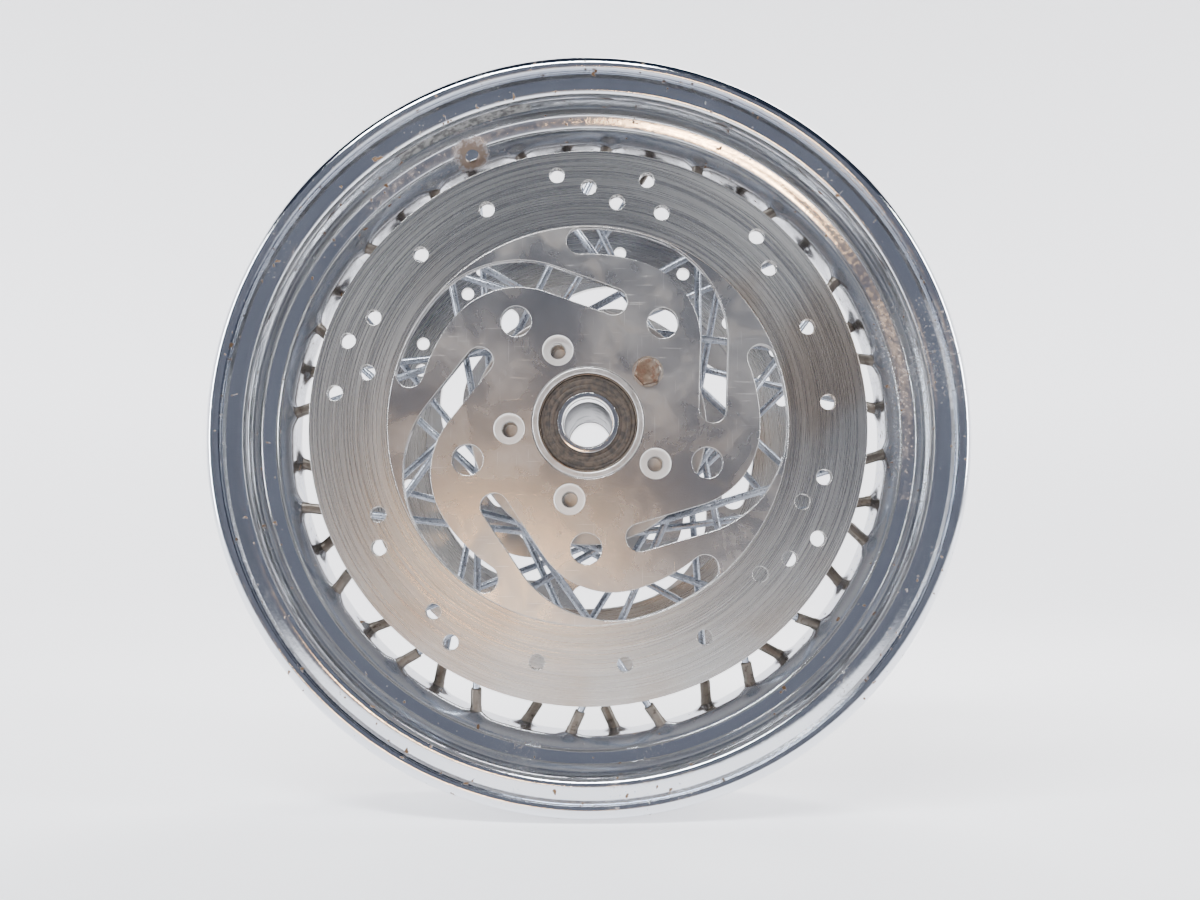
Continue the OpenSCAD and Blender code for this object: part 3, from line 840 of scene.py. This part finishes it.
# angle of a run's first hole, its first row and its last row
RING_HOLE_RUNS = [(4.9, 1, 1), (23.7, 1, 1), (40.7, 1, 2), (70.8, 0, 0), (76.5, 2, 2), (82.6, 0, 2),
                  (115.3, 1, 1), (134.7, 1, 1), (153.8, 1, 2), (167.1, 0, 0), (173.3, 2, 2), (203.8, 0, 1),
                  (230.9, 1, 2), (258.1, 1, 1), (278.7, 1, 1), (298.4, 1, 1), (318.5, 0, 2), (339.6, 0, 1)]


def circle_points(centre, r, n):
    return [centre + polar(r, 360 * i / n) for i in range(n)]


def window_outline(turn):
    """One curled window: along the ring's edge, round the curl, then straight in."""
    curl = polar(CURL_CENTRE_R, SLOT_TURN)
    curl_r = SLOT_R - CURL_CENTRE_R
    edge_steps, curl_steps = 16, 40
    path = [polar(SLOT_R, SLOT_START + (SLOT_TURN - SLOT_START) * i / edge_steps)
            for i in range(edge_steps + 1)]
    path += [curl + polar(curl_r, SLOT_TURN + (SLOT_EXIT - SLOT_TURN) * i / curl_steps)
             for i in range(1, curl_steps + 1)]
    path.append(path[-1] + polar(SLOT_RUN, SLOT_EXIT - 90))
    w = SLOT_W / 2
    last = len(path) - 1

    def cap(centre, facing):
        return [centre + polar(w, facing + 80 - 10 * i) for i in range(17)]

    def heading(a, b):
        return math.degrees(math.atan2(b.y - a.y, b.x - a.x))

    sides = wall(path, SLOT_W)
    outline = (sides[:last + 1] + cap(path[-1], heading(path[-2], path[-1]))
               + sides[last + 1:] + cap(path[0], heading(path[1], path[0])))
    rot = Matrix.Rotation(math.radians(turn), 2)
    return [rot @ p for p in outline]


def plate(name, outer, holes, z0, z1, bevel, side):
    """A flat plate with holes and rounded edges, made from a filled curve."""
    curve = bpy.data.curves.new(name, "CURVE")
    curve.dimensions = "2D"
    curve.fill_mode = "BOTH"
    for loop in [outer] + [list(reversed(h)) for h in holes]:
        spline = curve.splines.new("POLY")
        spline.points.add(len(loop) - 1)
        for point, p in zip(spline.points, loop):
            point.co = (p.x, p.y, 0, 1)
        spline.use_cyclic_u = True
    curve.bevel_depth = bevel
    curve.bevel_resolution = 2
    curve.offset = -bevel
    curve.extrude = (z1 - z0) / 2 - bevel
    obj = add_object(name, curve)
    mesh = evaluated_mesh(obj)
    bpy.data.objects.remove(obj)
    for v in mesh.vertices:
        v.co = to_model(flip((v.co.x, v.co.y, v.co.z + (z0 + z1) / 2), side))
    bm = bmesh.new()
    bm.from_mesh(mesh)
    bmesh.ops.remove_doubles(bm, verts=bm.verts, dist=1e-6)
    bm.to_mesh(mesh)
    bm.free()
    finish_mesh(mesh, smooth_angle=34)
    return add_object(name, mesh)


def build_disc(side, name):
    """Flat carrier with its windows and bolt holes, and the swept ring round it."""
    turns = [bolt_turn(k) for k in range(BOLT_COUNT)]
    windows = [window_outline(t) for t in turns]
    windows += [circle_points(polar(LIGHT_HOLE_AT_R, t + LIGHT_HOLE_TURN), LIGHT_HOLE_R, 72) for t in turns]
    windows += [circle_points(polar(BOLT_R, t), DISC_HOLE_R, 48) for t in turns]
    windows.append(circle_points(Vector((0, 0)), NOSE_R + 0.2, 180))
    carrier = plate(name + "_carrier", circle_points(Vector((0, 0)), SWEPT_R, 360), windows,
                    MOUNT_Z, DISC_FACE_Z, 0.3, side)
    top, wide = DISC_FACE_Z, COUNTERBORE_R + 0.5
    counterbore = [(0, COUNTERBORE_Z), (COUNTERBORE_R, COUNTERBORE_Z), (COUNTERBORE_R, top - 0.35),
                   (wide, top + 0.15), (wide, top + 1), (0, top + 1)]
    cutters = [solid_of_revolution(counterbore, 72, at_bolt(side, k)) for k in range(BOLT_COUNT)]
    boolean(carrier, cutters, "DIFFERENCE")
    holes = [circle_points(Vector((0, 0)), SWEPT_R, 360)]
    for first, low, high in RING_HOLE_RUNS:
        for row in range(low, high + 1):
            at = polar(RING_HOLE_ROWS[row], first + RING_HOLE_STEP * (row - low))
            holes.append(circle_points(at, RING_HOLE_R, 56))
    swept = plate(name + "_swept_ring", circle_points(Vector((0, 0)), DISC_R, 540), holes,
                  MOUNT_Z + 0.15, DISC_FACE_Z - 0.15, 0.25, side)
    crisp_flats(carrier)
    crisp_flats(swept)
    dress(carrier, DISC_STEEL[side], "wheel", "disc_steel", name)
    dress(swept, DISC_STEEL[side], "wheel", "disc_steel", name)


def bolt_data(side, k):
    """A bolt with a chamfered hex head; the head's round outline is clipped to the hexagon."""
    put = at_bolt(side, k)
    floor_z = COUNTERBORE_Z
    spin = math.radians(11 + 23 * k)

    def place(p):
        r, a = math.hypot(p.x, p.y), math.atan2(p.y, p.x)
        if p.z > floor_z - 0.01:
            off = math.remainder(a, math.pi / 3)
            r = min(r, HEX_HALF_WIDTH / math.cos(off))
        return put(Vector((r * math.cos(a + spin), r * math.sin(a + spin), p.z)))

    outline = [(0, 49.5), (3.4, 49.5), (3.9, 50.1), (3.9, floor_z), (6.9, floor_z), (7.3, floor_z + 0.4),
               (7.33, floor_z + 4.3), (6.25, floor_z + 5.1), (5.9, floor_z + 5.2), (4.2, floor_z + 5.15),
               (3.4, floor_z + 4.9), (0, floor_z + 4.85)]
    return solid_of_revolution(outline, segs=120, place=place)


def build_bolts():
    for side, picks, node in ((NEAR, [NEAR_BOLT_HOLE], "near_disc_bolt"),
                              (FAR, range(BOLT_COUNT), "far_disc_bolts")):
        verts, faces = merged([bolt_data(side, k) for k in picks])
        bolts = make_object(node + "_hex", verts, faces, smooth_angle=28)
        dress(bolts, RUSTY, "wheel", "bolt_steel", node)


# ---------------------------------------------------------------- bearings

def build_bearing(side, name):
    """Both races and both seals; heights count from the bearing's middle."""
    h = BEARING_HALF
    land_in, land_out, seal_out, seal_z = 15.8, 22.9, 25.2, 5.7
    inner = rounded([(AXLE_R, -h + 0.9), (AXLE_R + 0.9, -h), (land_in, -h), (land_in, h),
                     (AXLE_R + 0.9, h), (AXLE_R, h - 0.9)], 0.14)
    race = ring(name + "_inner_race_ground", inner, side, BEARING_MID)
    dress(race, GROUND, "axle_core", "bearing_steel", name + "_inner_race")
    outer = rounded([(land_out, -seal_z), (seal_out, -seal_z), (seal_out, -h), (RACE_R, -h), (RACE_R, h),
                     (seal_out, h), (seal_out, seal_z), (land_out, seal_z)], 0.12)
    race = ring(name + "_outer_race_ground", outer, side, BEARING_MID)
    dress(race, STAINED, "wheel", "bearing_steel", name + "_outer_race")
    low, high = 15.9, 25.15
    face = [(high, 0), (high, 0.75), (24.6, 1.15), (23.9, 1.15), (23.6, 0.7), (23.0, 0.7), (22.7, 1.0),
            (20.9, 1.0), (20.6, 0.65), (20.0, 0.65), (19.7, 0.95), (18.4, 0.95), (18.1, 0.6), (17.5, 0.6),
            (17.2, 1.1), (16.5, 1.15), (low, 0.7), (low, 0)]
    for end, where in ((1, "outboard"), (-1, "inboard")):
        outline = [(r, end * (seal_z + z)) for r, z in face]
        seal = ring(f"{name}_{where}_seal_lipped", rounded(outline, 0.1, 2), side, BEARING_MID, segs=192)
        dress(seal, RUBBER, "wheel", "seal_rubber", f"{name}_{where}_seal")


def build_spacer():
    outline = rounded([(SPACER_BORE_R, -BEARING_IN_Z), (SPACER_R, -BEARING_IN_Z), (SPACER_R, BEARING_IN_Z),
                       (SPACER_BORE_R, BEARING_IN_Z)], 0.2)
    verts, faces = revolve_data(outline, segs=128, place=to_model)
    tube = make_object("spacer_tube_drawn", verts, faces)
    dress(tube, TUBE, "axle_core", "tube_steel", "spacer_tube")


build_rim()
build_strip()
build_spokes()
build_nipples()
build_barrel()
build_flanges(NEAR, "near_hub_flanges")
build_flanges(FAR, "far_hub_flanges")
for disc_side, disc_name in ((NEAR, "near_disc"), (FAR, "far_disc")):
    build_disc(disc_side, disc_name)
build_bolts()
for bearing_side, bearing_name in ((NEAR, "near"), (FAR, "far")):
    build_bearing(bearing_side, bearing_name)
build_spacer()
BALL_ROW_LOOKS = (("near_balls", GROUND), ("far_balls", GROUND), ("near_cage", CAGE), ("far_cage", CAGE))
for node_name, node_material in BALL_ROW_LOOKS:
    node_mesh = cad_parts[node_name].data
    node_mesh.materials.clear()
    node_mesh.materials.append(node_material)


# ---------------------------------------------------------------- floor, light, camera

# metres, in the model's frame
STAGE_R = 2.2
STAGE_BEND = 0.5
STAGE_TOP = 1.52
STAGE_GAP = 0.002
CAMERA_AT = (0.0070, -0.6094, -0.0617)
CAMERA_LOOK = (-0.0013, 0.9963, 0.0864)
CAMERA_UP = (0.0001, -0.0864, 0.9963)
CAMERA_LENS_MM, CAMERA_SENSOR_MM = 31.5, 36


def build_stage():
    """Round pale floor that curves up all the way round, so no view sees behind it."""
    floor_z = cad_box[0][2] - STAGE_GAP
    bend_steps, segs = 16, 96
    profile = [(0, floor_z), (STAGE_R - STAGE_BEND, floor_z)]
    for i in range(1, bend_steps + 1):
        a = math.radians(90 * i / bend_steps)
        profile.append((STAGE_R - STAGE_BEND * (1 - math.sin(a)), floor_z + STAGE_BEND * (1 - math.cos(a))))
    profile.append((STAGE_R, STAGE_TOP))
    verts = [(r * math.cos(2 * math.pi * k / segs), r * math.sin(2 * math.pi * k / segs), z)
             for k in range(segs) for r, z in profile[1:]] + [(0, 0, floor_z)]
    n = len(profile) - 1
    faces = [(k * n + i, (k + 1) % segs * n + i, (k + 1) % segs * n + i + 1, k * n + i + 1)
             for k in range(segs) for i in range(n - 1)]
    faces += [(segs * n, (k + 1) % segs * n, k * n) for k in range(segs)]
    mesh = bpy.data.meshes.new("studio_sweep")
    mesh.from_pydata(verts, [], faces)
    mesh.shade_smooth()
    sweep = add_object("studio_sweep", mesh)
    # The sweep glows as painted light, stronger towards the back; its part on the camera side is painted dark
    # as painted shade for reflections
    s = Shader("studio_paper", (0.86, 0.855, 0.87), 0.0, 0.85, Emission_Color=(0.97, 0.97, 1.0, 1))
    depth = s.node("ShaderNodeSeparateXYZ", s.position).outputs["Y"]
    glow = s.span(depth, -1.0, 0.7, 0.0, 1.35)
    paper_and_painted_shade = s.mix(s.span(depth, -0.5, -1.5), (0.86, 0.855, 0.87), (0.13, 0.14, 0.17))
    mesh.materials.append(s.set(Base_Color=paper_and_painted_shade, Emission_Strength=glow,
                                Normal=s.bump(s.noise(300, 2, 0.5), 0.02, 0.2)))


def add_light(name, place, target, size, watts, tint):
    """A soft rectangular light at place, turned to face target."""
    data = bpy.data.lights.new(name, "AREA")
    data.shape = "RECTANGLE"
    data.size, data.size_y = size
    data.energy = watts
    data.color = tint
    obj = add_object(name, data)
    obj.location = place
    obj.rotation_euler = (Vector(target) - Vector(place)).to_track_quat("-Z", "Y").to_euler()


def build_light():
    world = bpy.data.worlds.new("studio")
    bpy.context.scene.world = world
    world.use_nodes = True
    sky = world.node_tree.nodes["Background"]
    sky.inputs["Color"].default_value = (0.10, 0.14, 0.24, 1)
    sky.inputs["Strength"].default_value = 0.22
    hub, below_hub = (0, 0, 0), (0, 0, -0.05)
    add_light("key_above", (-0.35, -0.90, 1.15), hub, size=(1.1, 0.24), watts=34, tint=(0.94, 0.97, 1.0))
    add_light("fill_left", (-1.35, -0.75, 0.30), hub, size=(0.14, 1.2), watts=20, tint=(0.90, 0.95, 1.0))
    add_light("edge_right", (1.30, -0.60, 0.45), hub, size=(0.12, 1.1), watts=18, tint=(0.96, 0.98, 1.0))
    add_light("low_warm", (-0.16, -1.30, -0.12), below_hub, size=(0.22, 0.05), watts=1.1,
              tint=(1.0, 0.62, 0.32))
    add_light("back_above", (0.40, 1.00, 1.05), hub, size=(0.9, 0.3), watts=18, tint=(1.0, 0.99, 0.97))


def build_camera():
    data = bpy.data.cameras.new("camera")
    data.sensor_width = CAMERA_SENSOR_MM
    data.lens = CAMERA_LENS_MM
    data.clip_start = 0.01
    obj = add_object("camera", data)
    look = Vector(CAMERA_LOOK).normalized()
    up = Vector(CAMERA_UP).normalized()
    right = look.cross(up).normalized()
    up = right.cross(look)
    turn = Matrix((right, up, -look)).transposed().to_4x4()
    obj.matrix_world = Matrix.Translation(CAMERA_AT) @ turn
    bpy.context.scene.camera = obj


build_stage()
build_light()
build_camera()

bpy.context.view_layer.update()
